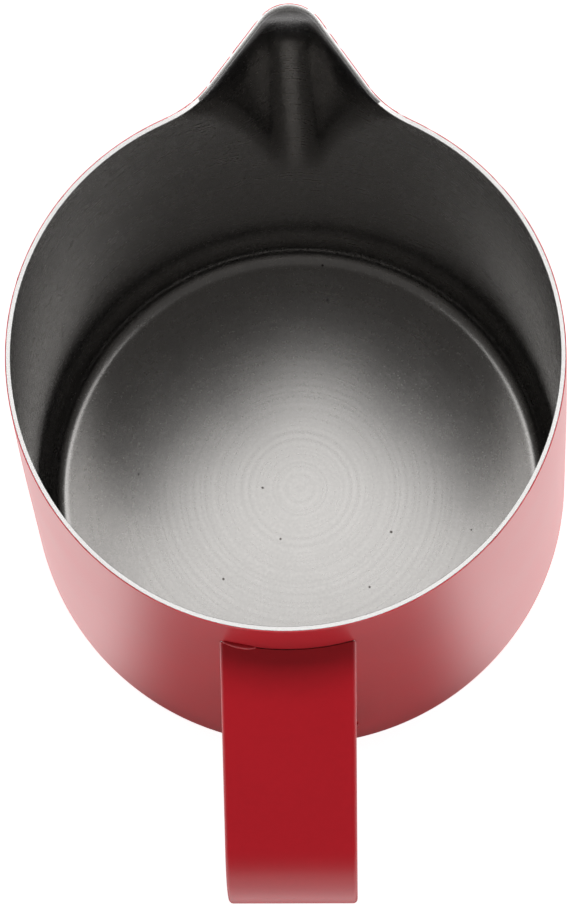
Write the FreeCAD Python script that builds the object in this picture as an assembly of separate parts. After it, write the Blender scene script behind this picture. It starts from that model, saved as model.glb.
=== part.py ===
import FreeCAD, Part
import math
import os

from FreeCAD import Vector

# Milk frothing pitcher: a bell of deep-drawn stainless steel with a spout pressed into
# its wall and a flat steel strap for a handle, powder coated on the outside only.
# Millimetres. The origin is on the bell's axis, on the surface that the pitcher stands
# on. +Z is up, +Y points to the spout and the handle is on the -Y side.
# Sizes are those of the finished outside, coat included, unless they say otherwise.

# Layers
WALL = 0.8             # steel of the bell
COAT = 0.15            # powder coat on the bell and on the strap

# Bell
RIM_RADIUS = 42.0      # at the middle of the rim
RIM_HEIGHT = 107.0     # at the middle of the rim
RIM_SLANT = 4.8        # degrees that the rim rises towards the spout
FLARE = 0.0735         # how much the wall widens for each millimetre down
SWELL = 0.25           # extra widening close under the rim
SWELL_DEPTH = 46.0     # which ends this far down, where the wall is a plain cone
BELLY_RADIUS = 22.0    # turns the flare inwards above the base
BELLY_TUCK = 12.0      # degrees past vertical where the belly meets the base corner
CORNER_RADIUS = 7.0
COAT_LOW = 0.5         # the coat ends this far above the base
COAT_DROP = 0.35       # and this far below the ground edge of the rim

# Drawn-in front: the press pulls the rim in on both sides of the spout
DRAW = 2.7             # at the rim
DRAW_SPAN = 100.0      # degrees from the spout where it has faded out
DRAW_POWER = 1.2
DRAW_DEPTH = 46.0      # how far below the rim it has faded out

# Spout
SPOUT_REACH = 53.1     # axis to the tip
SPOUT_FOOT = 65.5      # height where the keel leaves the wall
FLANK_ANGLE = 36.0     # degrees between the keel's plane and a flank
KEEL_RADIUS = 6.0
LIP_CURL = 1.1         # how far the lip turns out past the keel's line
LIP_DEPTH = 9.0        # over this much height
BLEND_TOP = 2.6        # easing of the crease between flank and bell, at the rim
BLEND_FOOT = 1.2       # and at the spout's foot

# Handle strap, seen from the side: down and out, round the bend, down and in
STRAP_WIDTH = 20.7
STRAP_THICK = 2.5
STRAP_EDGE = 0.7       # rounding of the long edges
STRAP_ROOT = 92.0      # height of its upper face where it meets the bell
STRAP_FALL = 31.9      # degrees below level of the upper run
STRAP_RUN = 34.3       # length of the upper run
STRAP_BEND = 16.2      # outer radius of the bend
STRAP_RETURN = 135.0   # direction of the lower run, counted as STRAP_FALL is
STRAP_OVERRUN = 10.0   # how far a run goes on into the bell before it is cut

# Welds
BEAD = 1.3             # how far weld metal reaches along the strap and the bell

# Build of the lofted part of the wall
JOIN = 58.0            # height where the turned base ends and the pressed wall begins
LEVEL_STEP = 2.5       # between the sections of the pressed wall
LEVELS = 24            # steps up to above the rim, where the wall is cut
FINE_ANGLE = 34.0      # degrees from the spout that are sampled finely
FINE_STEPS = 68
COARSE_STEPS = 96


def slant():
    return math.tan(math.radians(RIM_SLANT))


def tip_height():
    return RIM_HEIGHT + SPOUT_REACH * slant()


def wall_radius(z):
    """Outside radius of the bell's wall at height z, without the spout."""
    depth = RIM_HEIGHT - z
    left = max(0.0, 1 - depth / SWELL_DEPTH)
    return RIM_RADIUS + FLARE * depth + SWELL * (1 - left ** 2)


def draw_in(angle, z):
    """How far the rim is pulled in at this angle from the spout."""
    if abs(angle) >= math.radians(DRAW_SPAN):
        return 0.0
    fade = max(0.0, 1 - (RIM_HEIGHT - z) / DRAW_DEPTH)
    wave = (1 + math.cos(math.pi * angle / math.radians(DRAW_SPAN))) / 2
    return DRAW * min(fade, 1.0) ** 2 * wave ** DRAW_POWER


def keel_reach(z):
    """Distance from the axis to the outside of the keel."""
    foot = wall_radius(SPOUT_FOOT)
    lean = (SPOUT_REACH - LIP_CURL - foot) / (tip_height() - SPOUT_FOOT)
    curl = max(0.0, (z - tip_height() + LIP_DEPTH) / LIP_DEPTH)
    return foot + lean * (z - SPOUT_FOOT) + LIP_CURL * curl ** 2


def spout_radius(angle, z):
    """Distance from the axis to the spout's rounded V along one ray."""
    turn = abs(angle)
    flank = math.radians(FLANK_ANGLE)
    centre = keel_reach(z) - KEEL_RADIUS
    edge = math.atan2(KEEL_RADIUS * math.cos(flank), centre + KEEL_RADIUS * math.sin(flank))
    if turn < edge:
        side = centre * math.sin(turn)
        return centre * math.cos(turn) + math.sqrt(KEEL_RADIUS ** 2 - side ** 2)
    apex = centre + KEEL_RADIUS / math.sin(flank)
    return apex * math.tan(flank) / (math.sin(turn) + math.cos(turn) * math.tan(flank))


def outline_radius(angle, z):
    """Outside of the coated bell with its spout, in polar form."""
    bell = wall_radius(z) - draw_in(angle, z)
    if abs(angle) > math.radians(60):
        return bell
    spout = spout_radius(angle, z)
    rise = min(1.0, max(0.0, (z - SPOUT_FOOT) / (RIM_HEIGHT - SPOUT_FOOT)))
    blend = BLEND_FOOT + (BLEND_TOP - BLEND_FOOT) * rise
    near = max(blend - abs(bell - spout), 0.0)
    return max(bell, spout) + near ** 2 / (4 * blend)


def outline_point(angle, z, inset):
    """A point of the horizontal section of the skin that lies inset deep in the wall."""
    radius = outline_radius(angle, z)
    step = 1e-4
    slope = (outline_radius(angle + step, z) - outline_radius(angle - step, z)) / (2 * step)
    across = Vector(math.sin(angle), math.cos(angle), 0)
    along = Vector(math.cos(angle), -math.sin(angle), 0)
    normal = (across * radius - along * slope).normalize()
    level_inset = inset / math.cos(math.atan(FLARE))
    return across * radius - normal * level_inset + Vector(0, 0, z)


def section_angles():
    """Ray angles round the bell, fine at the spout, starting behind it at the handle."""
    fine = [FINE_ANGLE * (2 * i / FINE_STEPS - 1) for i in range(FINE_STEPS + 1)]
    rest = 180 - FINE_ANGLE
    coarse = [FINE_ANGLE + rest * i / COARSE_STEPS for i in range(1, COARSE_STEPS + 1)]
    left = [-a for a in reversed(coarse)]
    return [math.radians(a) for a in left + fine + coarse]


def section_wire(z, inset):
    angles = section_angles()
    points = [outline_point(a, z, inset) for a in angles[:-1]]
    curve = Part.BSplineCurve()
    curve.interpolate(Points=points, PeriodicFlag=True, Parameters=angles)
    return Part.Wire([curve.toShape()])


def pressed_wall(inset):
    """The wall above the join, as one smooth solid through horizontal sections."""
    levels = [JOIN + LEVEL_STEP * i for i in range(LEVELS + 1)]
    return Part.makeLoft([section_wire(z, inset) for z in levels], True, False)


def arc_point(centre, radius, degrees):
    """Point of an arc in the profile plane. 0 degrees is outwards, -90 is down."""
    turn = math.radians(degrees)
    return Vector(centre.x + radius * math.cos(turn), 0, centre.z + radius * math.sin(turn))


def base_profile():
    """Centres of the belly and corner arcs, and the wall's lean where it meets them."""
    tuck = math.radians(BELLY_TUCK)
    corner_z = CORNER_RADIUS - COAT
    belly_z = corner_z + (BELLY_RADIUS - CORNER_RADIUS) * math.sin(tuck)
    lean = math.atan(FLARE)
    wall_end = belly_z + BELLY_RADIUS * math.sin(lean)
    belly_x = wall_radius(wall_end) - BELLY_RADIUS * math.cos(lean)
    corner_x = belly_x + (BELLY_RADIUS - CORNER_RADIUS) * math.cos(tuck)
    return Vector(belly_x, 0, belly_z), Vector(corner_x, 0, corner_z), math.degrees(lean)


def turned_base(inset):
    """The bell below the join, turned about its axis."""
    belly, corner, lean = base_profile()
    belly_radius = BELLY_RADIUS - inset
    corner_radius = CORNER_RADIUS - inset
    wall_foot = arc_point(belly, belly_radius, lean)
    belly_foot = arc_point(belly, belly_radius, -BELLY_TUCK)
    floor_edge = arc_point(corner, corner_radius, -90)
    wall_top = Vector(wall_foot.x - FLARE * (JOIN - wall_foot.z), 0, JOIN)
    belly_middle = arc_point(belly, belly_radius, (lean - BELLY_TUCK) / 2)
    corner_middle = arc_point(corner, corner_radius, -(90 + BELLY_TUCK) / 2)
    centre = Vector(0, 0, floor_edge.z)
    axis_top = Vector(0, 0, JOIN)
    edges = [
        Part.LineSegment(wall_top, wall_foot).toShape(),
        Part.Arc(wall_foot, belly_middle, belly_foot).toShape(),
        Part.Arc(belly_foot, corner_middle, floor_edge).toShape(),
        Part.LineSegment(floor_edge, centre).toShape(),
        Part.LineSegment(centre, axis_top).toShape(),
        Part.LineSegment(axis_top, wall_top).toShape(),
    ]
    return Part.Face(Part.Wire(edges)).revolve(Vector(0, 0, 0), Vector(0, 0, 1), 360)


def above_rim(drop):
    """Everything above a plane that lies this far below the edge of the rim."""
    size = 400.0
    block = Part.makeBox(size, size, size, Vector(-size / 2, -size / 2, 0))
    block.rotate(Vector(0, 0, 0), Vector(1, 0, 0), RIM_SLANT)
    block.translate(Vector(0, 0, RIM_HEIGHT - drop))
    return block


def wall_ring(outer, inner, rim_drop):
    """The pressed wall's skin from one inset to a deeper one, cut below the rim's edge."""
    return pressed_wall(outer).cut(pressed_wall(inner)).cut(above_rim(rim_drop))


def base_ring(outer, inner):
    """The turned base's skin from one inset to a deeper one."""
    return turned_base(outer).cut(turned_base(inner))


def bend_point(depth, direction):
    """Point of the bend, this deep below the strap's outer face, as (out, height).
    The strap runs in this direction there: 0 degrees is outwards, 90 is down."""
    fall = math.radians(STRAP_FALL)
    centre_out = wall_radius(STRAP_ROOT) + STRAP_RUN * math.cos(fall)
    centre_out -= STRAP_BEND * math.sin(fall)
    centre_z = STRAP_ROOT - STRAP_RUN * math.sin(fall) - STRAP_BEND * math.cos(fall)
    turn = math.radians(direction)
    radius = STRAP_BEND - depth
    return centre_out + radius * math.sin(turn), centre_z + radius * math.cos(turn)


def strap_face(depth):
    """Five points of one long face of the strap: start, bend (three) and end. Both
    straight runs go on past the wall, into the bell."""
    def run_on(start, direction, length):
        turn = math.radians(direction)
        return start[0] + length * math.cos(turn), start[1] - length * math.sin(turn)

    first = bend_point(depth, STRAP_FALL)
    middle = bend_point(depth, (STRAP_FALL + STRAP_RETURN) / 2)
    last = bend_point(depth, STRAP_RETURN)
    start = run_on(first, STRAP_FALL, -(STRAP_RUN + STRAP_OVERRUN))
    end = run_on(last, STRAP_RETURN, STRAP_RUN + 2 * STRAP_OVERRUN)
    return [Vector(0, -out, z) for out, z in (start, first, middle, last, end)]


def strap_bar(inset):
    """The bent strap before its ends are cut to the bell, its skin moved in by inset."""
    outer = strap_face(inset)
    inner = strap_face(STRAP_THICK - inset)
    edges = [
        Part.LineSegment(outer[0], outer[1]).toShape(),
        Part.Arc(outer[1], outer[2], outer[3]).toShape(),
        Part.LineSegment(outer[3], outer[4]).toShape(),
        Part.LineSegment(outer[4], inner[4]).toShape(),
        Part.LineSegment(inner[4], inner[3]).toShape(),
        Part.Arc(inner[3], inner[2], inner[1]).toShape(),
        Part.LineSegment(inner[1], inner[0]).toShape(),
        Part.LineSegment(inner[0], outer[0]).toShape(),
    ]
    half = STRAP_WIDTH / 2 - inset
    side = Part.Face(Part.Wire(edges))
    side.translate(Vector(-half, 0, 0))
    bar = side.extrude(Vector(2 * half, 0, 0))
    at_side = [e for e in bar.Edges if abs(abs(e.CenterOfMass.x) - half) < 1e-6]
    long_edges = [e for e in at_side if e.Length > STRAP_THICK]
    return bar.makeFillet(STRAP_EDGE - inset, long_edges)


def above_strap():
    """A block that stands on the steel's upper face, over the strap's root."""
    size = 60.0
    root = strap_face(COAT)[0]
    block = Part.makeBox(size, size, size, Vector(-size / 2, -size, 0))
    block.rotate(Vector(0, 0, 0), Vector(1, 0, 0), STRAP_FALL)
    block.translate(root)
    return block


def weld_zones():
    """Where weld metal can lie: close to the strap and to the bell. The upper one leaves
    the strap's upper face bare."""
    near_strap = strap_bar(-BEAD)
    upper = near_strap.cut(above_strap()).common(pressed_wall(-BEAD))
    lower = near_strap.common(turned_base(-BEAD))
    return upper, lower


def write_parts():
    wall_steel = pressed_wall(COAT)
    base_steel = turned_base(COAT)
    strap_steel = strap_bar(COAT)
    upper_zone, lower_zone = weld_zones()
    below = Part.makeBox(200, 200, 10, Vector(-100, -100, COAT_LOW - 10))
    wall_coat = wall_ring(0, COAT, COAT_DROP).cut(upper_zone).cut(strap_steel)
    base_coat = base_ring(0, COAT).cut(below).cut(lower_zone)
    strap_outside = strap_bar(0).cut(pressed_wall(0)).cut(turned_base(0))
    parts = {
        "body_shell": base_ring(COAT, COAT + WALL).fuse(wall_ring(COAT, COAT + WALL, 0)),
        "body_coat": base_coat.fuse(wall_coat),
        "handle_strap": strap_steel.cut(wall_steel).cut(base_steel),
        "handle_coat": strap_outside.cut(upper_zone).cut(lower_zone).cut(strap_steel),
        "upper_weld": upper_zone.cut(wall_steel).cut(strap_steel),
        "lower_weld": lower_zone.cut(base_steel).cut(strap_steel),
    }
    for name, shape in parts.items():
        shape.exportStep(f"parts/{name}.step")
        print(name, shape.isValid(), len(shape.Solids), round(shape.Volume, 1))


if __name__ == "__main__":
    os.makedirs("parts", exist_ok=True)
    write_parts()
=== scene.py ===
"""A milk frothing pitcher: a spun steel bell with a pressed spout, a flat strap for a
handle and a red powder coat on the outside."""

import math
import random

import bmesh
import bpy
from mathutils import Matrix, Vector, noise


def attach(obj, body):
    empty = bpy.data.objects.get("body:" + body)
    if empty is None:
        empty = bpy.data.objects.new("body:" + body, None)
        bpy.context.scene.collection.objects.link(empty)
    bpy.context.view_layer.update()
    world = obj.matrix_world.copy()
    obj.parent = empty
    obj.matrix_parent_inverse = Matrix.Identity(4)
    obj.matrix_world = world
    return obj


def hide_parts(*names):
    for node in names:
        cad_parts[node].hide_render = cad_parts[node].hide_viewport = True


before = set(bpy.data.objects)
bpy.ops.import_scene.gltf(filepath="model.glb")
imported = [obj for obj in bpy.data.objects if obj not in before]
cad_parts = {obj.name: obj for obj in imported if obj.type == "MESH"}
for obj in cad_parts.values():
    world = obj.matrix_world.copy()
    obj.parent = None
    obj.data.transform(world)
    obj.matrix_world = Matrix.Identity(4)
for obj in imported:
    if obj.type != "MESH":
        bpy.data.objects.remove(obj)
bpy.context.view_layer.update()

bl_info = {
    "name": "Milk Frothing Pitcher",
    "version": (1, 0, 0),
    "blender": (4, 5, 0),
    "location": "View3D > Sidebar > Pitcher",
    "description": "Builds a powder-coated steel milk pitcher and a soft studio round it",
    "category": "Add Mesh",
}

MM = 0.001

SHARP_FROM = math.radians(35)       # edges that bend more than this are shaded sharp
BELL_STEPS = 384                    # sides of the bell's round sections
WALL_STEPS = 56                     # rows of faces up its wall
CROWDING = 0.62                     # how much closer together the sides are at the spout
SPOUT_SECTOR = math.radians(60)     # from the spout's middle, all that a flank can reach
SPOUT_BELOW = 10 * MM               # below its foot, where the spout has surely ended
PRESS_BELOW = 8 * MM                # below its foot, where the pressing starts
DRAW_POWER = 1.2                    # narrows the draw beside the spout
SKIN_LIFT = 5 * MM                  # tells two skins apart while they are joined
LOOP_SPLIT = 20 * MM                # below the mean height, between foot and rim
GROUND_LEAN = 0.045 * MM            # how much lower the rim's inner edge is ground
RIM_BEVEL = 0.05 * MM
COAT_GAP = 0.01 * MM                # between the coat and the steel under it
COAT_WAVE = 0.05 * MM               # unevenness of the coat's edge
STRAP_SPARE = 3.0 * MM              # extra length at each end, before it is cut to the bell
STRAP_EMBED = 0.4 * MM              # depth of the strap's ends in the bell's wall
ROOT_GAP = 0.15 * MM                # open crease above the strap
BEAD_STEP = 0.45 * MM               # between the balls that a bead is made of
BEAD_VOXEL = 0.22 * MM
UPPER_FULLNESS = 0.58               # radius of a bead's balls as a share of its reach
LOWER_FULLNESS = 0.5

STEEL_BUMP = 0.00035 * MM
COAT_BUMP = 0.004 * MM
# colour of the ground rim, painted near white as a highlight
GROUND_HIGHLIGHT_COLOUR = (0.95, 0.94, 0.93)
SPECK_COLOUR = (0.10, 0.09, 0.085)
DUST_COLOUR = (0.75, 0.6, 0.58)

CAMERA_AIM = (0.0, -0.01625, 0.107)
OVERHEAD_POWER = 3.0
WINDOW_POWER = 1.0
COAT_WINDOW_POWER = 12.8
UNDER_OVERHEAD = ("steel_bell", "bell_coat", "studio_floor")
COATED_PIECES = ("bell_coat", "strap_coat", "upper_bead", "lower_bead")
HORIZON_COLOUR = (0.40, 0.40, 0.41)
ZENITH_COLOUR = (0.10, 0.097, 0.094)
BACKDROP_COLOUR = (0.85, 0.85, 0.86)
GLOW_SEEN = 1.0                     # glow of the floor in the lens
GLOW_LENT = 1.15                    # and on the pitcher
GLOW_SHADED = 0.05                  # and on it inside the painted shadow on the handle's side
SHADE_EDGE, SHADE_CORE = 0.5, 0.95  # edges of that painted shadow, as cosines from the handle's direction
SHADE_NEAR, SHADE_FAR = 0.08, 0.14  # metres from the axis over which the painted shadow fades


# Sizes and colours that a user would change

def length(name, value, description):
    """A length in metres, given in millimetres."""
    return bpy.props.FloatProperty(name=name, description=description, default=value * MM,
                                   min=0.0, precision=5, unit="LENGTH", subtype="DISTANCE")


def angle(name, value, description):
    """An angle, given in degrees."""
    return bpy.props.FloatProperty(name=name, description=description,
                                   default=math.radians(value), subtype="ANGLE")


def colour(name, value, description):
    """A linear RGB colour."""
    return bpy.props.FloatVectorProperty(name=name, description=description, default=value,
                                         size=3, min=0.0, max=1.0, subtype="COLOR")


def share(name, value, description):
    """A number from 0 to 1."""
    return bpy.props.FloatProperty(name=name, description=description, default=value,
                                   min=0.0, max=1.0, subtype="FACTOR")


class BellSizes(bpy.types.PropertyGroup):
    """The bell with its pressed spout. Radii are those of the coated outside."""

    wall: length("Wall", 0.65, "Thickness of the steel")
    coat: length("Coat", 0.15, "Thickness of the powder coat")
    rim_radius: length("Rim Radius", 42.0, "Radius at the middle of the rim")
    rim_height: length("Rim Height", 107.0, "Height at the middle of the rim")
    rim_slant: angle("Rim Slant", 4.8, "How much the rim rises towards the spout")
    flare: bpy.props.FloatProperty(name="Flare", default=0.0735,
                                   description="Widening of the wall for each unit down")
    swell: length("Swell", 0.25, "Extra widening close under the rim")
    swell_depth: length("Swell Depth", 46.0, "Depth at which the swell ends")
    belly_radius: length("Belly Radius", 22.0, "Turns the flare inwards above the base")
    belly_tuck: angle("Belly Tuck", 12.0, "Lean of the wall where it meets the corner")
    corner_radius: length("Corner Radius", 7.0, "Rounding of the base's edge")
    inner_corner: length("Inner Corner", 3.9, "Rounding between the floor and the wall")
    draw: length("Draw", 2.7, "How far the rim is pulled in beside the spout")
    draw_span: angle("Draw Span", 100.0, "Angle from the spout where the draw has faded")
    draw_depth: length("Draw Depth", 46.0, "Depth at which the draw has faded")
    spout_reach: length("Spout Reach", 53.0, "Axis to the spout's tip")
    spout_foot: length("Spout Foot", 52.0, "Height where the keel leaves the wall")
    flank_angle: angle("Flank Angle", 37.8, "Between the keel's plane and a flank")
    keel_radius: length("Keel Radius", 6.0, "Rounding of the spout's keel")
    lip_curl: length("Lip Curl", 2.8, "How far the lip turns out")
    lip_depth: length("Lip Depth", 7.5, "Height over which the lip turns out")
    spout_turn: angle("Spout Turn", 0.9, "Turn of the spout off the handle's plane")
    blend_top: length("Rim Blend", 2.6, "Easing between flank and bell at the rim")
    blend_foot: length("Foot Blend", 1.2, "Easing between flank and bell at the foot")
    coat_low: length("Coat Foot", 0.5, "Height at which the coat ends above the base")
    coat_drop: length("Coat Drop", 0.06, "How far below the rim's edge the coat ends")


class StrapSizes(bpy.types.PropertyGroup):
    """The flat strap that is the handle, coat included."""

    width: length("Width", 20.7, "Width of the strap")
    thick: length("Thickness", 2.5, "Thickness of the strap")
    edge: length("Edge", 0.7, "Rounding of its long edges")
    root: length("Root Height", 92.0, "Height of its upper face at the bell")
    fall: angle("Fall", 31.9, "Slope of the upper run below level")
    run: length("Run", 34.3, "Length of the upper run")
    bend: length("Bend", 16.2, "Outer radius of the bend")
    back: angle("Return", 135.0, "Direction of the lower run, counted as the fall is")
    bead: length("Bead", 1.2, "How far weld metal reaches along the strap and the bell")


class FinishColours(bpy.types.PropertyGroup):
    """Finishes of the steel and of the coat."""

    steel: colour("Steel", (0.52, 0.507, 0.494), "Bare satin steel")
    steel_rough: share("Steel Roughness", 0.26, "Roughness of the satin steel")
    coat: colour("Coat", (0.64, 0.012, 0.024), "Red powder coat")
    coat_rough: share("Coat Roughness", 0.3, "Roughness of the powder coat")


class StudioLook(bpy.types.PropertyGroup):
    """Camera, lamps and floor."""

    camera_turn: angle("Camera Turn", 7.08, "Direction of the camera, from the handle's side")
    camera_rise: angle("Camera Rise", 77.68, "Height of the camera above level")
    camera_roll: angle("Camera Roll", -7.30, "Turn of the camera about its own axis")
    camera_far: length("Camera Distance", 377.0, "From the camera to what it aims at")
    lens: bpy.props.FloatProperty(name="Lens", default=100.98, description="Focal length",
                                  unit="CAMERA")
    floor: colour("Floor", (0.93, 0.93, 0.93), "Pale floor")


# Shape of the bell, as radii round its axis. Angles count from the spout.

def wall_radius(s, z):
    """Outside radius of the bell at height z, without the spout."""
    depth = s.rim_height - z
    left = max(0.0, 1 - depth / s.swell_depth)
    return s.rim_radius + s.flare * depth + s.swell * (1 - left ** 2)


def draw_in(s, turn, z):
    """How far the wall is pulled in beside the spout."""
    if abs(turn) >= s.draw_span:
        return 0.0
    fade = min(1.0, max(0.0, 1 - (s.rim_height - z) / s.draw_depth))
    wave = (1 + math.cos(math.pi * turn / s.draw_span)) / 2
    return s.draw * fade ** 2 * wave ** DRAW_POWER


def tip_height(s):
    """Height of the rim's edge at the spout's tip."""
    return s.rim_height + s.spout_reach * math.tan(s.rim_slant)


def keel_reach(s, z):
    """Distance from the axis to the outside of the keel."""
    foot = wall_radius(s, s.spout_foot)
    lean = (s.spout_reach - s.lip_curl - foot) / (tip_height(s) - s.spout_foot)
    curl = max(0.0, (z - tip_height(s) + s.lip_depth) / s.lip_depth)
    return foot + lean * (z - s.spout_foot) + s.lip_curl * curl ** 2


def spout_radius(s, turn, z):
    """Distance from the axis to the spout's rounded V along one ray."""
    turn = abs(turn)
    flank = s.flank_angle
    centre = keel_reach(s, z) - s.keel_radius
    edge = math.atan2(s.keel_radius * math.cos(flank), centre + s.keel_radius * math.sin(flank))
    if turn < edge:
        side = centre * math.sin(turn)
        return centre * math.cos(turn) + math.sqrt(s.keel_radius ** 2 - side ** 2)
    apex = centre + s.keel_radius / math.sin(flank)
    return apex * math.tan(flank) / (math.sin(turn) + math.cos(turn) * math.tan(flank))


def outline_radius(s, turn, z):
    """Outside of the coated bell with its spout, in polar form."""
    turn -= s.spout_turn
    bell = wall_radius(s, z) - draw_in(s, turn, z)
    if abs(turn) > SPOUT_SECTOR or z < s.spout_foot - SPOUT_BELOW:
        return bell
    spout = spout_radius(s, turn, z)
    rise = min(1.0, max(0.0, (z - s.spout_foot) / (s.rim_height - s.spout_foot)))
    blend = s.blend_foot + (s.blend_top - s.blend_foot) * rise
    near = max(blend - abs(bell - spout), 0.0)
    return max(bell, spout) + near ** 2 / (4 * blend)


def outline_point(s, turn, z, inset):
    """A point of the skin that lies inset deep in the wall, at height z."""
    radius = outline_radius(s, turn, z)
    step = 1e-4
    slope = (outline_radius(s, turn + step, z) - outline_radius(s, turn - step, z)) / (2 * step)
    across = Vector((math.sin(turn), math.cos(turn), 0))
    along = Vector((math.cos(turn), -math.sin(turn), 0))
    normal = (across * radius - along * slope).normalized()
    return across * radius - normal * inset / math.cos(math.atan(s.flare)) + Vector((0, 0, z))


def rim_point(s, turn, inset, drop):
    """The point of a skin in the slanted plane that lies drop below the rim's edge."""
    z = s.rim_height
    for _ in range(6):
        point = outline_point(s, turn, z, inset)
        z = s.rim_height - drop + point.y * math.tan(s.rim_slant)
    return outline_point(s, turn, z, inset)


# Mesh helpers

def arc_chain(bm, start, centre, axis, turn, steps):
    """Carries a line of vertices on round an arc, and returns its last vertex."""
    spun = bmesh.ops.spin(bm, geom=[start], cent=centre, axis=axis, angle=turn, steps=steps,
                          use_merge=False, use_normal_flip=False, use_duplicate=False)
    return [v for v in spun["geom_last"] if isinstance(v, bmesh.types.BMVert)][0]


def straight_chain(bm, start, end, steps):
    """Carries a line of vertices on in equal steps, and returns its last vertex."""
    stride = (Vector(end) - start.co) / steps
    last = start
    for _ in range(steps):
        grown = bmesh.ops.extrude_vert_indiv(bm, verts=[last])
        last = grown["verts"][0]
        bmesh.ops.translate(bm, verts=[last], vec=stride)
    return last


def finish_piece(name, bm, material, replaced=()):
    """Turns a finished bmesh into a smooth-shaded piece that rides on the pitcher."""
    mesh = bpy.data.meshes.new(name)
    bm.to_mesh(mesh)
    bm.free()
    for face in mesh.polygons:
        face.use_smooth = True
    mesh.set_sharp_from_angle(angle=SHARP_FROM)
    mesh.materials.append(material)
    piece = bpy.data.objects.new(name, mesh)
    bpy.context.scene.collection.objects.link(piece)
    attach(piece, "root")
    if replaced:
        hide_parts(*replaced)
    return piece


def warped(turn):
    """Crowds evenly spread angles towards the spout, where the wall bends most."""
    return turn - CROWDING * math.sin(turn)


def bell_profile(bm, s, inset, corner, closed):
    """Half a section of the bell's skin in the spout's plane, from the base's middle up
    to the rim. An open skin starts on the corner, at the coat's foot."""
    lean = math.atan(s.flare)
    rise = (s.belly_radius - s.corner_radius) * math.sin(s.belly_tuck)
    belly_z = s.corner_radius - s.coat + rise
    wall_end = belly_z + s.belly_radius * math.sin(lean)
    belly_y = wall_radius(s, wall_end) - s.belly_radius * math.cos(lean)
    base_z = inset - s.coat
    corner_z = base_z + corner
    tuck = math.asin((belly_z - corner_z) / (s.belly_radius - inset - corner))
    corner_y = belly_y + (s.belly_radius - inset - corner) * math.cos(tuck)
    sweep = math.pi / 2 - tuck
    if closed:
        start = bm.verts.new((0, 0, base_z))
        start = straight_chain(bm, start, (0, corner_y, base_z), 10)
    else:
        skipped = math.acos((corner_z - s.coat_low) / corner)
        sweep -= skipped
        start = bm.verts.new((0, corner_y + corner * math.sin(skipped), s.coat_low))
    x_axis = (1, 0, 0)
    start = arc_chain(bm, start, (0, corner_y, corner_z), x_axis, sweep, 12)
    start = arc_chain(bm, start, (0, belly_y, belly_z), x_axis, tuck + lean, 6)
    top = (0, start.co.y - s.flare * (s.rim_height - start.co.z), s.rim_height)
    straight_chain(bm, start, top, WALL_STEPS)


def bell_skin(s, inset, drop, corner=None, closed=True):
    """One side of the bell's wall: its section spun round the axis, then pressed out to
    the spout and cut along the rim. drop is how far below the rim's edge it ends."""
    bm = bmesh.new()
    bell_profile(bm, s, inset, corner or s.corner_radius - inset, closed)
    bmesh.ops.spin(bm, geom=bm.verts[:] + bm.edges[:], cent=(0, 0, 0), axis=(0, 0, 1),
                   angle=2 * math.pi, steps=BELL_STEPS, use_merge=True,
                   use_normal_flip=False, use_duplicate=False)
    bmesh.ops.remove_doubles(bm, verts=bm.verts[:], dist=1e-6)
    pressed_from = s.spout_foot - PRESS_BELOW
    heights = {}
    for vert in bm.verts:
        radius = math.hypot(vert.co.x, vert.co.y)
        if radius < 1e-6:
            continue
        turn = warped(math.atan2(vert.co.x, vert.co.y))
        if vert.co.z < pressed_from:
            vert.co.x = radius * math.sin(turn)
            vert.co.y = radius * math.cos(turn)
            continue
        key = round(turn, 5)
        if key not in heights:
            heights[key] = rim_point(s, turn, inset, drop(turn)).z
        rise = (vert.co.z - pressed_from) / (s.rim_height - pressed_from)
        z = pressed_from + rise * (heights[key] - pressed_from)
        vert.co = outline_point(s, turn, z, inset)
    return bm


def join_skins(inner, outer):
    """Puts both skins in one bmesh and closes them along their open edges, which are
    returned, the upper ones first. The inner skin is lifted while the edges are bridged,
    so that the operator can tell the loops apart."""
    spare = bpy.data.meshes.new("spare")
    lift = Vector((0, 0, SKIN_LIFT))
    bmesh.ops.translate(inner, verts=inner.verts[:], vec=lift)
    inner.to_mesh(spare)
    inner.free()
    own = set(outer.verts)
    outer.from_mesh(spare)
    lifted = [v for v in outer.verts if v not in own]
    bpy.data.meshes.remove(spare)
    open_edges = [e for e in outer.edges if e.is_boundary]
    middle = sum(e.verts[0].co.z for e in open_edges) / len(open_edges)
    split = middle - LOOP_SPLIT
    high = [e for e in open_edges if e.verts[0].co.z > split]
    low = [e for e in open_edges if e.verts[0].co.z <= split]
    for loop_pair in (high, low):
        if loop_pair:
            bmesh.ops.bridge_loops(outer, edges=loop_pair)
    bmesh.ops.translate(outer, verts=lifted, vec=-lift)
    bmesh.ops.recalc_face_normals(outer, faces=outer.faces[:])
    return high, low


def round_edges(bm, edges, offset, segments):
    """Bevels edges round."""
    bmesh.ops.bevel(bm, geom=edges, offset=offset, offset_type="OFFSET", segments=segments,
                    profile=0.5, affect="EDGES", material=-1, clamp_overlap=True)


def chipped_drop(s):
    """How far below the rim's edge the coat ends, with small chips from use and grinding."""
    dice = random.Random(7)
    chips = [(dice.uniform(-0.5, 0.5), dice.uniform(0.004, 0.010), dice.uniform(0.1, 0.35))
             for _ in range(14)]
    chips += [(dice.uniform(-3.1, 3.1), dice.uniform(0.010, 0.02), dice.uniform(0.1, 0.3))
              for _ in range(16)]

    def drop(turn):
        wave = noise.noise(Vector((math.sin(turn), math.cos(turn), 0)) * 22)
        depth = s.coat_drop + COAT_WAVE * wave
        for place, half_width, deep in chips:
            away = abs(turn - place) / half_width
            if away < 1:
                depth += deep * MM * (1 - away ** 2)
        return depth

    return drop


def level_drop(turn):
    """The steel ends at the rim's edge itself."""
    return 0.0


def ground_drop(turn):
    """Its inside ends a little lower, because the edge was ground with an inward lean."""
    return GROUND_LEAN


# Shape of the strap, in the plane of spout and handle. Directions: 0 is outwards and
# a quarter turn is down.

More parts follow.
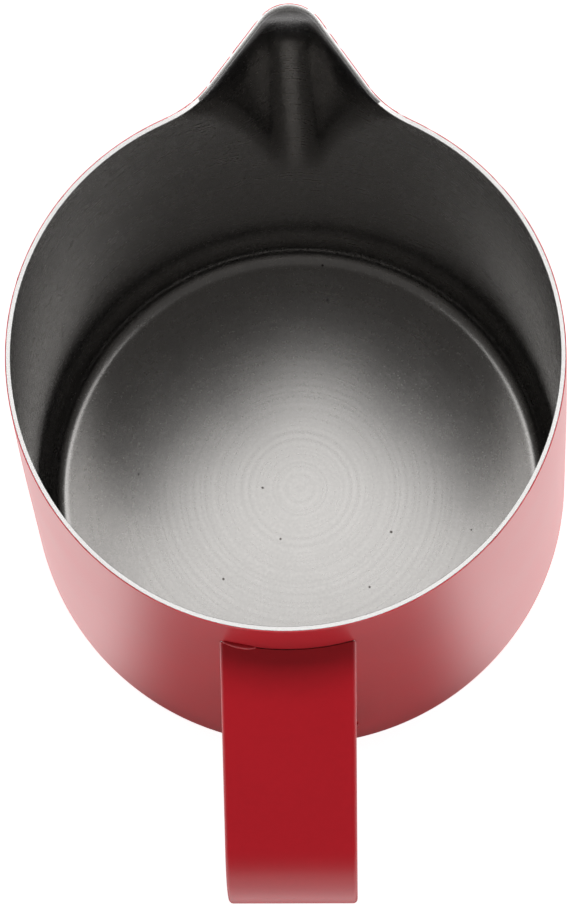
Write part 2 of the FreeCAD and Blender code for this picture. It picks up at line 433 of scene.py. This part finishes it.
def bend_point(s, b, depth, direction):
    """Point of the bend, depth below the strap's outer face."""
    centre_out = wall_radius(b, s.root) + s.run * math.cos(s.fall) - s.bend * math.sin(s.fall)
    centre_z = s.root - s.run * math.sin(s.fall) - s.bend * math.cos(s.fall)
    radius = s.bend - depth
    return Vector((0, -centre_out - radius * math.sin(direction),
                   centre_z + radius * math.cos(direction)))


def run_vector(direction):
    """Unit vector of a run, away from the bell for the upper one."""
    return Vector((0, -math.cos(direction), -math.sin(direction)))


def meet_wall(b, point, direction, embed=0.0):
    """Slides a point along a run of the strap until it is embed deep in the bell's wall."""
    step = run_vector(direction)
    if step.y < 0:
        step = -step
    moved = Vector(point)
    for _ in range(30):
        reach = math.sqrt((wall_radius(b, moved.z) - embed) ** 2 - moved.x ** 2)
        moved = moved + step * (-reach - moved.y) / step.y
    return moved


def grow_strip(bm, edges, vector, steps):
    """Carries a row of edges on in equal steps, and returns its last row."""
    for _ in range(steps):
        grown = bmesh.ops.extrude_edge_only(bm, edges=edges)["geom"]
        edges = [e for e in grown if isinstance(e, bmesh.types.BMEdge)]
        verts = [v for v in grown if isinstance(v, bmesh.types.BMVert)]
        bmesh.ops.translate(bm, verts=verts, vec=vector / steps)
        edges = [e for e in edges if all(v in verts for v in e.verts)]
    return edges


def on_outer_face(s, b, point):
    """Whether a point of the upper run lies nearer its outer face than its inner one."""
    start = bend_point(s, b, 0, s.fall)
    along = run_vector(s.fall)
    depth = Vector((0, -along.z, along.y)).dot(point - start)
    return abs(depth) < s.thick / 3


def strap_mesh(s, b):
    """The coated strap: a strip grown along its path, thickened, its long edges rounded,
    and its ends cut to the bell's wall."""
    bm = bmesh.new()
    first = bend_point(s, b, 0, s.fall)
    last = bend_point(s, b, 0, s.back)
    root = meet_wall(b, first, s.fall) + run_vector(s.fall) * STRAP_SPARE
    foot = meet_wall(b, last, s.back) - run_vector(s.back) * STRAP_SPARE
    side = Vector((s.width / 2, 0, 0))
    straight_chain(bm, bm.verts.new(root - side), root + side, 24)
    row = grow_strip(bm, bm.edges[:], first - root, 18)
    centre = bend_point(s, b, s.bend, s.fall)
    geometry = row + list({v for e in row for v in e.verts})
    spun = bmesh.ops.spin(bm, geom=geometry, cent=centre, axis=(1, 0, 0),
                          angle=s.back - s.fall, steps=40, use_merge=False,
                          use_normal_flip=False, use_duplicate=False)
    row = [e for e in spun["geom_last"] if isinstance(e, bmesh.types.BMEdge)]
    grow_strip(bm, row, foot - last, 18)
    bmesh.ops.recalc_face_normals(bm, faces=bm.faces[:])
    bmesh.ops.solidify(bm, geom=bm.faces[:], thickness=s.thick)
    bmesh.ops.recalc_face_normals(bm, faces=bm.faces[:])
    long_edges = [e for e in bm.edges if len(e.link_faces) == 2
                  and e.calc_face_angle() > math.radians(60)
                  and abs(e.verts[0].co.x - e.verts[1].co.x) < 1e-7
                  and abs(abs(e.verts[0].co.x) - s.width / 2) < 1e-6
                  and (e.verts[0].co - e.verts[1].co).length < s.thick * 0.9]
    round_edges(bm, long_edges, s.edge, 4)
    ends = ((run_vector(s.fall) * -1, s.fall), (run_vector(s.back), s.back))
    for outwards, direction in ends:
        furthest = max(v.co.dot(outwards) for v in bm.verts)
        for vert in bm.verts:
            if vert.co.dot(outwards) > furthest - 0.01 * MM:
                upper = direction == s.fall and on_outer_face(s, b, vert.co)
                embed = -ROOT_GAP if upper else STRAP_EMBED
                vert.co = meet_wall(b, vert.co, direction, embed)
    return bm


def bead_line(s, b, direction):
    """Points all round the strap where it meets the bell."""
    half = s.width / 2
    corners = [(-half, 0), (-half, s.thick), (half, s.thick), (half, 0), (-half, 0)]
    points = []
    for (x0, d0), (x1, d1) in zip(corners, corners[1:]):
        count = max(2, round(max(abs(x1 - x0), abs(d1 - d0)) / BEAD_STEP))
        for step in range(count):
            part = step / count
            depth = d0 + (d1 - d0) * part
            place = bend_point(s, b, depth, direction)
            place.x = x0 + (x1 - x0) * part
            points.append(meet_wall(b, place, direction))
    return points


def bead_mesh(points, radius, seed):
    """Overlapping small balls along a line, uneven as weld metal is."""
    dice = random.Random(seed)
    bm = bmesh.new()
    for point in points:
        size = radius * dice.uniform(0.8, 1.0)
        jitter = Vector([dice.uniform(-0.12, 0.12) * radius for _ in range(3)])
        bmesh.ops.create_icosphere(bm, subdivisions=2, radius=size,
                                   matrix=Matrix.Translation(point + jitter))
    return bm


def add_nub(bm, s, b):
    """A stray run of weld metal in the crease above the strap, near one side. Its balls
    lie at shares of the strap's width and have radii in millimetres."""
    for side, size in ((-0.46, 0.45), (-0.43, 0.55), (-0.40, 0.65), (-0.37, 0.7),
                       (-0.34, 0.7), (-0.31, 0.7), (-0.28, 0.6), (-0.25, 0.45)):
        place = bend_point(s, b, 0, s.fall)
        place.x = side * s.width
        place = meet_wall(b, place, s.fall)
        bmesh.ops.create_icosphere(bm, subdivisions=2, radius=size * MM,
                                   matrix=Matrix.Translation(place))


def melt(piece, voxel, rounds):
    """Flows a piece's overlapping parts into one smooth skin."""
    remesh = piece.modifiers.new("Flow", "REMESH")
    remesh.mode = "VOXEL"
    remesh.voxel_size = voxel
    remesh.use_smooth_shade = True
    smooth = piece.modifiers.new("Settle", "SMOOTH")
    smooth.factor = 0.5
    smooth.iterations = rounds


# Effects shared by the finishes

def new_group(name, inputs, outputs):
    """An empty shader node group. Inputs are names and defaults, outputs are names."""
    tree = bpy.data.node_groups.new(name, "ShaderNodeTree")
    tree.interface.new_socket("Position", in_out="INPUT", socket_type="NodeSocketVector")
    for label, value in inputs:
        socket = tree.interface.new_socket(label, in_out="INPUT", socket_type="NodeSocketFloat")
        socket.default_value = value
    for label in outputs:
        tree.interface.new_socket(label, in_out="OUTPUT", socket_type="NodeSocketFloat")
    return tree, tree.nodes.new("NodeGroupInput"), tree.nodes.new("NodeGroupOutput")


def add_node(tree, kind, settings=None, **inputs):
    """A node with its settings made and its sockets set or linked."""
    node = tree.nodes.new(kind)
    for key, value in (settings or {}).items():
        setattr(node, key, value)
    for key, value in inputs.items():
        socket = node.inputs[int(key[1:])] if key[1:].isdigit() else node.inputs[key]
        if isinstance(value, bpy.types.NodeSocket):
            tree.links.new(value, socket)
        else:
            socket.default_value = value
    return node


def sum_of(tree, operation, *values):
    """A Math node's result."""
    sockets = {f"i{index}": value for index, value in enumerate(values)}
    return add_node(tree, "ShaderNodeMath", {"operation": operation}, **sockets).outputs[0]


def ramp_between(tree, value, low, high, at_low=0.0, at_high=1.0):
    """Eases a value between two limits."""
    node = add_node(tree, "ShaderNodeMapRange", {"interpolation_type": "SMOOTHSTEP"},
                    i0=value, i1=low, i2=high, i3=at_low, i4=at_high)
    return node.outputs[0]


def noise_of(tree, position, scale, detail=3.0):
    """Smooth noise of a position, from 0 to 1."""
    node = add_node(tree, "ShaderNodeTexNoise", None, Vector=position, Scale=scale,
                    Detail=detail, Roughness=0.55)
    return node.outputs["Fac"]


def mottle_group():
    """Soft cloudy variation with a fine grain over it."""
    tree, given, result = new_group("Mottle", (("Cloud Scale", 120.0), ("Grain Scale", 1800.0),
                                               ("Grain Share", 0.4)), ("Value",))
    cloud = noise_of(tree, given.outputs["Position"], given.outputs["Cloud Scale"], 4.0)
    grain = noise_of(tree, given.outputs["Position"], given.outputs["Grain Scale"], 2.0)
    mixed = add_node(tree, "ShaderNodeMix", {"data_type": "FLOAT"},
                     i0=given.outputs["Grain Share"], i2=cloud, i3=grain)
    tree.links.new(mixed.outputs[0], result.inputs["Value"])
    return tree


def turning_group():
    """Rings left by the spinning lathe, round the upright axis."""
    tree, given, result = new_group("Turning Marks", (("Ring Scale", 2400.0),
                                                      ("Ring Wander", 0.15)), ("Value",))
    parts = add_node(tree, "ShaderNodeSeparateXYZ", None, i0=given.outputs["Position"])
    flat = add_node(tree, "ShaderNodeCombineXYZ", None, i0=parts.outputs[0],
                    i1=parts.outputs[1], i2=0.0)
    radius = add_node(tree, "ShaderNodeVectorMath", {"operation": "LENGTH"},
                      i0=flat.outputs[0]).outputs["Value"]
    along = sum_of(tree, "ADD", radius, parts.outputs[2])
    wander = noise_of(tree, given.outputs["Position"], 60.0, 2.0)
    wander = sum_of(tree, "MULTIPLY", wander, given.outputs["Ring Wander"])
    along = sum_of(tree, "MULTIPLY", along, given.outputs["Ring Scale"])
    along = sum_of(tree, "ADD", along, wander)
    rings = add_node(tree, "ShaderNodeTexNoise", {"noise_dimensions": "1D"}, W=along,
                     Scale=1.0, Detail=1.0, Roughness=0.5)
    tree.links.new(rings.outputs["Fac"], result.inputs["Value"])
    return tree


def speck_group():
    """Scattered small round specks, 1 inside a speck and 0 outside."""
    tree, given, result = new_group("Specks", (("Spacing", 0.008), ("Size", 0.0002),
                                               ("Share", 0.3)), ("Mask",))
    scale = sum_of(tree, "DIVIDE", 1.0, given.outputs["Spacing"])
    cells = add_node(tree, "ShaderNodeTexVoronoi", None, Vector=given.outputs["Position"],
                     Scale=scale)
    reach = sum_of(tree, "DIVIDE", given.outputs["Size"], given.outputs["Spacing"])
    inside = sum_of(tree, "LESS_THAN", cells.outputs["Distance"], reach)
    pick = add_node(tree, "ShaderNodeSeparateXYZ", None, i0=cells.outputs["Color"])
    chosen = sum_of(tree, "LESS_THAN", pick.outputs[0], given.outputs["Share"])
    tree.links.new(sum_of(tree, "MULTIPLY", inside, chosen), result.inputs["Mask"])
    return tree


def use_group(tree, group, position, **values):
    """Places a shared effect in a material, with its own values."""
    node = tree.nodes.new("ShaderNodeGroup")
    node.node_tree = group
    tree.links.new(position, node.inputs["Position"])
    for key, value in values.items():
        node.inputs[key.replace("_", " ")].default_value = value
    return node.outputs[0]


def shared_effects():
    """The three effect groups, built once and found again later."""
    made = {"Mottle": mottle_group, "Turning Marks": turning_group, "Specks": speck_group}
    for name, build in made.items():
        if name not in bpy.data.node_groups:
            build()
    return [bpy.data.node_groups[name] for name in made]


def blend_colours(tree, share_socket, first, second):
    """Mixes two colours, each given or linked."""
    node = add_node(tree, "ShaderNodeMix", {"data_type": "RGBA"}, i0=share_socket)
    for socket, value in ((node.inputs[6], first), (node.inputs[7], second)):
        if isinstance(value, bpy.types.NodeSocket):
            tree.links.new(value, socket)
        else:
            socket.default_value = (*value, 1.0)
    return node.outputs[2]


def start_material(name):
    """A new material's tree, its shader and the object's own coordinates."""
    material = bpy.data.materials.new(name)
    material.use_nodes = True
    tree = material.node_tree
    shader = tree.nodes["Principled BSDF"]
    place = tree.nodes.new("ShaderNodeTexCoord").outputs["Object"]
    return material, tree, shader, place


def rim_depth(tree, parts, sizes):
    """How far below the plane of the rim's edge a point lies."""
    climb = sum_of(tree, "MULTIPLY", parts.outputs[1], math.tan(sizes.rim_slant))
    edge = sum_of(tree, "ADD", climb, sizes.rim_height)
    return sum_of(tree, "SUBTRACT", edge, parts.outputs[2])


def add_bump(tree, shader, height, distance):
    """Gives the shader a relief that is distance deep."""
    bump = add_node(tree, "ShaderNodeBump", None, Strength=1.0, Distance=distance,
                    Height=height)
    tree.links.new(bump.outputs[0], shader.inputs["Normal"])


def steel_material(name, looks, sizes):
    """Satin spun steel: cloudy grain, turning marks, specks, and a ground rim whose steel is
    painted near white as a highlight.
    """
    mottle, turning, specks = shared_effects()
    material, tree, shader, place = start_material(name)
    shader.inputs["Metallic"].default_value = 1.0
    cloud = use_group(tree, mottle, place, Cloud_Scale=150.0, Grain_Scale=1500.0,
                      Grain_Share=0.6)
    rings = use_group(tree, turning, place, Ring_Scale=1300.0, Ring_Wander=0.4)
    parts = add_node(tree, "ShaderNodeSeparateXYZ", None, i0=place)
    level = add_node(tree, "ShaderNodeCombineXYZ", None, i0=parts.outputs[0],
                     i1=parts.outputs[1], i2=0.0).outputs[0]
    dots = use_group(tree, specks, level, Spacing=4 * MM, Size=0.25 * MM, Share=0.4)
    on_floor = sum_of(tree, "LESS_THAN", parts.outputs[2], sizes.inner_corner / 2)
    dots = sum_of(tree, "MULTIPLY", dots, on_floor)
    below = rim_depth(tree, parts, sizes)
    # the ground rim's edge, where the painted highlight colour is mixed in
    ground = ramp_between(tree, below, 0.1 * MM, 0.4 * MM, 1.0, 0.0)
    base = tuple(looks.steel)
    dark = tuple(value * 0.90 for value in base)
    light = tuple(min(1.0, value * 1.06) for value in base)
    tone = ramp_between(tree, cloud, 0.32, 0.68)
    body = blend_colours(tree, tone, dark, light)
    body = blend_colours(tree, ground, body, GROUND_HIGHLIGHT_COLOUR)
    body = blend_colours(tree, dots, body, SPECK_COLOUR)
    tree.links.new(body, shader.inputs["Base Color"])
    rough = ramp_between(tree, cloud, 0.25, 0.75, looks.steel_rough - 0.02,
                         looks.steel_rough + 0.02)
    marks = ramp_between(tree, rings, 0.3, 0.7, -0.009, 0.009)
    tree.links.new(sum_of(tree, "ADD", rough, marks), shader.inputs["Roughness"])
    height = sum_of(tree, "ADD", cloud, sum_of(tree, "MULTIPLY", rings, 0.35))
    add_bump(tree, shader, height, STEEL_BUMP)
    return material


def coat_material(name, looks, sizes, edge_half=None, texture=1.0):
    """Semi-gloss powder coat: orange peel, fine grain, dust and paler rubbed edges. The
    edges are the strap's where edge_half is given, and the rim's where it isn't."""
    mottle, _, specks = shared_effects()
    material, tree, shader, place = start_material(name)
    shader.inputs["IOR"].default_value = 1.5
    peel = use_group(tree, mottle, place, Cloud_Scale=380.0, Grain_Scale=1600.0,
                     Grain_Share=0.2)
    cloud = use_group(tree, mottle, place, Cloud_Scale=45.0, Grain_Scale=900.0,
                      Grain_Share=0.35)
    dust = use_group(tree, specks, place, Spacing=7 * MM, Size=0.12 * MM, Share=0.4)
    base = tuple(looks.coat)
    deep = tuple(value * 0.96 for value in base)
    light = tuple(min(1.0, value * 1.03) for value in base)
    body = blend_colours(tree, ramp_between(tree, cloud, 0.3, 0.7), deep, light)
    rough = ramp_between(tree, cloud, 0.25, 0.75, looks.coat_rough - 0.012,
                         looks.coat_rough + 0.012)
    parts = add_node(tree, "ShaderNodeSeparateXYZ", None, i0=place)
    if edge_half:
        side = sum_of(tree, "ABSOLUTE", parts.outputs[0])
        near = ramp_between(tree, side, edge_half - 0.6 * MM, edge_half)
    else:
        below = rim_depth(tree, parts, sizes)
        near = ramp_between(tree, below, 0.3 * MM, 0.9 * MM, 1.0, 0.0)
    rubbed = sum_of(tree, "MULTIPLY", near, ramp_between(tree, peel, 0.42, 0.62))
    rubbed = sum_of(tree, "MULTIPLY", rubbed, 0.2)
    worn = tuple(min(1.0, 0.55 * value + 0.16) for value in base)
    body = blend_colours(tree, rubbed, body, worn)
    body = blend_colours(tree, sum_of(tree, "MULTIPLY", dust, 0.4), body, DUST_COLOUR)
    tree.links.new(body, shader.inputs["Base Color"])
    rough = sum_of(tree, "ADD", rough, sum_of(tree, "MULTIPLY", rubbed, 0.3))
    tree.links.new(rough, shader.inputs["Roughness"])
    add_bump(tree, shader, peel, COAT_BUMP * texture)
    return material


def floor_material(name, tone):
    """Plain pale floor. It glows a little for the lens, so that it stays even, and what its
    glow lends to the coat has a painted shadow on the handle's side, which the lens doesn't
    see."""
    material, tree, shader, place = start_material(name)
    cloud = noise_of(tree, place, 3.0)
    low = tuple(value * 0.985 for value in tone)
    body = blend_colours(tree, cloud, low, tuple(tone))
    tree.links.new(body, shader.inputs["Base Color"])
    heading = add_node(tree, "ShaderNodeVectorMath", {"operation": "NORMALIZE"}, i0=place)
    parts = add_node(tree, "ShaderNodeSeparateXYZ", None, i0=heading.outputs[0])
    forward = sum_of(tree, "MULTIPLY", parts.outputs[1], -1.0)
    # painted shadow: the glow lent to the pitcher is dimmed on the handle's side, near the axis
    shade = ramp_between(tree, forward, SHADE_EDGE, SHADE_CORE)
    away = add_node(tree, "ShaderNodeVectorMath", {"operation": "LENGTH"}, i0=place)
    near = ramp_between(tree, away.outputs["Value"], SHADE_NEAR, SHADE_FAR, 1.0, 0.0)
    shade = sum_of(tree, "MULTIPLY", shade, near)
    lent = ramp_between(tree, shade, 0.0, 1.0, GLOW_LENT, GLOW_SHADED)
    direct = tree.nodes.new("ShaderNodeLightPath").outputs["Is Camera Ray"]
    strength = add_node(tree, "ShaderNodeMix", {"data_type": "FLOAT"}, i0=direct, i2=lent,
                        i3=GLOW_SEEN)
    tree.links.new(body, shader.inputs["Emission Color"])
    tree.links.new(strength.outputs[0], shader.inputs["Emission Strength"])
    shader.inputs["Roughness"].default_value = 0.9
    shader.inputs["Specular IOR Level"].default_value = 0.2
    return material


# Operators, one for each piece or group of like pieces

class PITCHER_OT_bell(bpy.types.Operator):
    """Build the steel bell with its pressed spout"""

    bl_idname = "pitcher.bell"
    bl_label = "Bell"

    def execute(self, context):
        b = context.scene.pitcher_bell
        outer = bell_skin(b, b.coat, level_drop)
        inner = bell_skin(b, b.coat + b.wall, ground_drop, b.inner_corner)
        rim, _ = join_skins(inner, outer)
        round_edges(outer, rim, RIM_BEVEL, 1)
        steel = steel_material("satin_steel", context.scene.pitcher_finish, b)
        finish_piece("steel_bell", outer, steel, ("body_shell",))
        return {"FINISHED"}


class PITCHER_OT_bell_coat(bpy.types.Operator):
    """Build the powder coat that covers the bell's outside"""

    bl_idname = "pitcher.bell_coat"
    bl_label = "Bell Coat"

    def execute(self, context):
        b = context.scene.pitcher_bell
        drop = chipped_drop(b)
        outer = bell_skin(b, 0.0, drop, closed=False)
        inner = bell_skin(b, b.coat - COAT_GAP, drop, closed=False)
        join_skins(inner, outer)
        coat = coat_material("powder_coat", context.scene.pitcher_finish, b)
        finish_piece("bell_coat", outer, coat, ("body_coat",))
        return {"FINISHED"}


class PITCHER_OT_strap(bpy.types.Operator):
    """Build the coated strap handle, and finish the bare strap inside its coat"""

    bl_idname = "pitcher.strap"
    bl_label = "Strap Handle"

    def execute(self, context):
        b, s = context.scene.pitcher_bell, context.scene.pitcher_strap
        looks = context.scene.pitcher_finish
        coat = coat_material("strap_coat", looks, b, s.width / 2)
        finish_piece("strap_coat", strap_mesh(s, b), coat, ("handle_coat",))
        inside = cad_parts["handle_strap"]
        steel = steel_material("strap_steel", looks, b)
        for slot in inside.material_slots:
            slot.material = steel
        if not inside.material_slots:
            inside.data.materials.append(steel)
        return {"FINISHED"}


class PITCHER_OT_welds(bpy.types.Operator):
    """Build the coated weld beads at both ends of the strap"""

    bl_idname = "pitcher.welds"
    bl_label = "Weld Beads"

    def execute(self, context):
        b, s = context.scene.pitcher_bell, context.scene.pitcher_strap
        coat = coat_material("weld_coat", context.scene.pitcher_finish, b, texture=2.0)
        bare = round(s.width / BEAD_STEP)
        start = round(s.thick / BEAD_STEP) + 2
        upper = bead_line(s, b, s.fall)[start:-bare - start]
        lower = bead_line(s, b, s.back)
        for name, points, fullness, seed, node in (
                ("upper_bead", upper, UPPER_FULLNESS, 5, "upper_weld"),
                ("lower_bead", lower, LOWER_FULLNESS, 9, "lower_weld")):
            balls = bead_mesh(points, fullness * s.bead, seed)
            if node == "upper_weld":
                add_nub(balls, s, b)
            bead = finish_piece(name, balls, coat, (node,))
            melt(bead, BEAD_VOXEL, 4)
        return {"FINISHED"}


class PITCHER_OT_studio(bpy.types.Operator):
    """Set the floor, the lamps, the surroundings and the camera"""

    bl_idname = "pitcher.studio"
    bl_label = "Studio"

    def execute(self, context):
        look = context.scene.pitcher_studio
        make_floor(look)
        make_lamps()
        make_surroundings(context.scene)
        make_camera(context.scene, look)
        context.scene.view_settings.view_transform = "Standard"
        return {"FINISHED"}


def make_floor(look):
    """A plain floor that reaches past the picture's edges."""
    bm = bmesh.new()
    bmesh.ops.create_grid(bm, x_segments=4, y_segments=4, size=3.0)
    mesh = bpy.data.meshes.new("studio_floor")
    bm.to_mesh(mesh)
    bm.free()
    mesh.materials.append(floor_material("pale_floor", look.floor))
    plane = bpy.data.objects.new("studio_floor", mesh)
    bpy.context.scene.collection.objects.link(plane)


def add_lamp(name, place, aim, size, power):
    """A soft rectangular lamp that faces what it aims at."""
    data = bpy.data.lights.new(name, "AREA")
    data.shape = "RECTANGLE"
    data.size, data.size_y = size
    data.energy = power
    lamp = bpy.data.objects.new(name, data)
    bpy.context.scene.collection.objects.link(lamp)
    heading = Vector(aim) - Vector(place)
    lamp.matrix_world = (Matrix.Translation(place)
                         @ heading.to_track_quat("-Z", "Y").to_matrix().to_4x4())
    return lamp


def make_lamps():
    """A lamp over the open bell, one behind it, and one that only the coat takes."""
    overhead = add_lamp("overhead", (0.0, 0.335, 1.3), (0.0, 0.335, 0.0), (1.2, 0.5),
                        OVERHEAD_POWER)
    add_lamp("window", (0.0, 0.95, 1.3), (0.0, 0.0, 0.05), (1.0, 0.5), WINDOW_POWER)
    coat_window = add_lamp("coat_window", (0.0, 0.46, 1.4), (0.0, 0.0, 0.05), (1.0, 0.38),
                           COAT_WINDOW_POWER)
    for lamp, names in ((overhead, UNDER_OVERHEAD), (coat_window, COATED_PIECES)):
        lit = bpy.data.collections.new("lit_by_" + lamp.name)
        for name in names:
            lit.objects.link(bpy.data.objects[name])
        lamp.light_linking.receiver_collection = lit


def make_surroundings(scene):
    """Pale where the lens sees it. What it lends is pale near the horizon and dim above,
    so that the steel has something to show."""
    world = bpy.data.worlds.new("surroundings")
    world.use_nodes = True
    tree = world.node_tree
    direction = tree.nodes.new("ShaderNodeTexCoord").outputs["Generated"]
    parts = add_node(tree, "ShaderNodeSeparateXYZ", None, i0=direction)
    height = ramp_between(tree, parts.outputs[2], 0.05, 0.4)
    sky = blend_colours(tree, height, HORIZON_COLOUR, ZENITH_COLOUR)
    direct = tree.nodes.new("ShaderNodeLightPath").outputs["Is Camera Ray"]
    sky = blend_colours(tree, direct, sky, BACKDROP_COLOUR)
    tree.links.new(sky, tree.nodes["Background"].inputs["Color"])
    scene.world = world


def make_camera(scene, look):
    """The camera looks down past the handle's side, turned a little about its axis."""
    turn, rise, roll = look.camera_turn, look.camera_rise, look.camera_roll
    back = Vector((math.sin(turn) * math.cos(rise), -math.cos(turn) * math.cos(rise),
                   math.sin(rise)))
    level = (-back).cross(Vector((0, 0, 1))).normalized()
    upright = level.cross(-back)
    right = level * math.cos(roll) + upright * math.sin(roll)
    up = upright * math.cos(roll) - level * math.sin(roll)
    place = Vector(CAMERA_AIM) + back * look.camera_far
    data = bpy.data.cameras.new("camera")
    data.lens = look.lens
    data.clip_start = 0.01
    camera = bpy.data.objects.new("camera", data)
    camera.matrix_world = Matrix((right, up, back)).transposed().to_4x4()
    camera.location = place
    scene.collection.objects.link(camera)
    scene.camera = camera


class PITCHER_PT_panel(bpy.types.Panel):
    """Lists the pitcher's pieces, sizes and finishes"""

    bl_idname = "PITCHER_PT_panel"
    bl_label = "Pitcher"
    bl_space_type = "VIEW_3D"
    bl_region_type = "UI"
    bl_category = "Pitcher"

    def draw(self, context):
        for operator in OPERATORS:
            self.layout.operator(operator.bl_idname)
        for owner in OWNERS:
            box = self.layout.box()
            group = getattr(context.scene, owner)
            for key in group.bl_rna.properties.keys():
                if key not in ("rna_type", "name"):
                    box.prop(group, key)


OPERATORS = (PITCHER_OT_bell, PITCHER_OT_bell_coat, PITCHER_OT_strap, PITCHER_OT_welds,
             PITCHER_OT_studio)
OWNERS = {"pitcher_bell": BellSizes, "pitcher_strap": StrapSizes,
          "pitcher_finish": FinishColours, "pitcher_studio": StudioLook}
CLASSES = (*OWNERS.values(), *OPERATORS, PITCHER_PT_panel)


def register():
    for each in CLASSES:
        bpy.utils.register_class(each)
    for owner, group in OWNERS.items():
        setattr(bpy.types.Scene, owner, bpy.props.PointerProperty(type=group))


def unregister():
    for owner in OWNERS:
        delattr(bpy.types.Scene, owner)
    for each in reversed(CLASSES):
        bpy.utils.unregister_class(each)


def main():
    register()
    for step in (bpy.ops.pitcher.bell, bpy.ops.pitcher.bell_coat, bpy.ops.pitcher.strap,
                 bpy.ops.pitcher.welds, bpy.ops.pitcher.studio):
        step()


if __name__ == "__main__":
    main()
